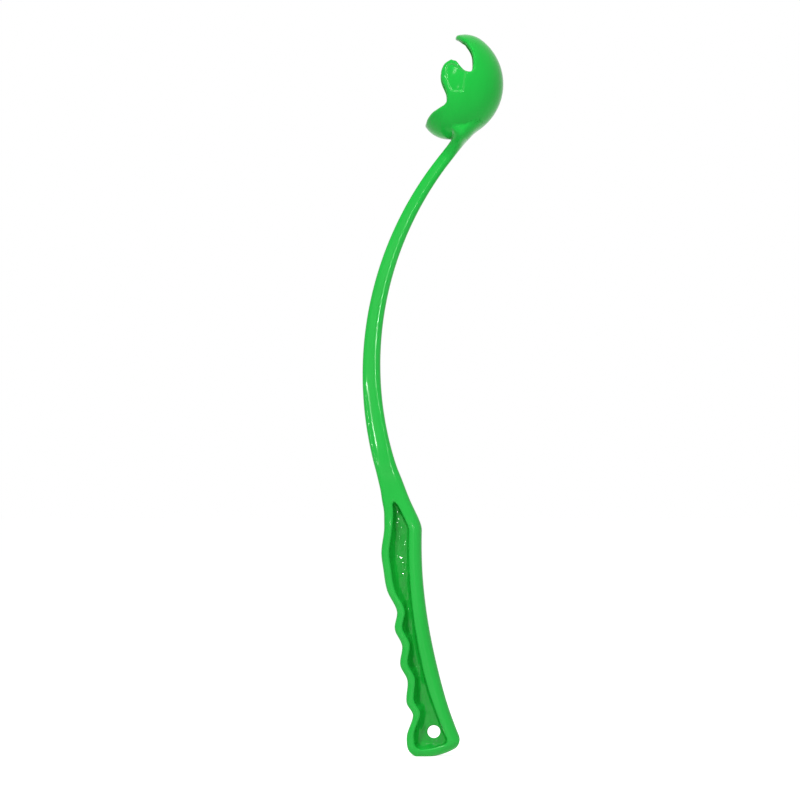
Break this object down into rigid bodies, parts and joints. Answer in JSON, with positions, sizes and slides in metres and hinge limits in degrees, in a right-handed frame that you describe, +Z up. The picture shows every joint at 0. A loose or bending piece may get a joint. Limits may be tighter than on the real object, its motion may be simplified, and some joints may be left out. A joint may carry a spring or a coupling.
{
  "type": "dog ball thrower",
  "caption": "Hand-held ball launcher: curled-rim ball cup on a long curved springy arm with a finger-grooved, webbed hand grip and a hang hole.",
  "frame": {"origin": "middle of the hand grip, where the closed hand holds the thrower", "axes": "+Z up from the grip to the ball cup, +X from the finger grooves to the palm side, +Y across the moulding, which is symmetric about Y = 0"},
  "size_m": [0.0958, 0.0724, 0.4907],
  "materials": {
    "cup_plastic": "glossy bright green moulding",
    "saddle_plastic": "glossy bright green moulding",
    "arm_plastic": "glossy bright green moulding",
    "grip_plastic": "glossy bright green moulding, slightly worn where the hand holds it",
    "web_plastic": "glossy bright green moulding with faint flow waves"
  },
  "bodies": {
    "root": {"ball_cup": "cup_plastic", "cup_saddle": "saddle_plastic", "throwing_arm": "arm_plastic", "grip_rim": "grip_plastic", "grip_web": "web_plastic"}
  },
  "joints": []
}
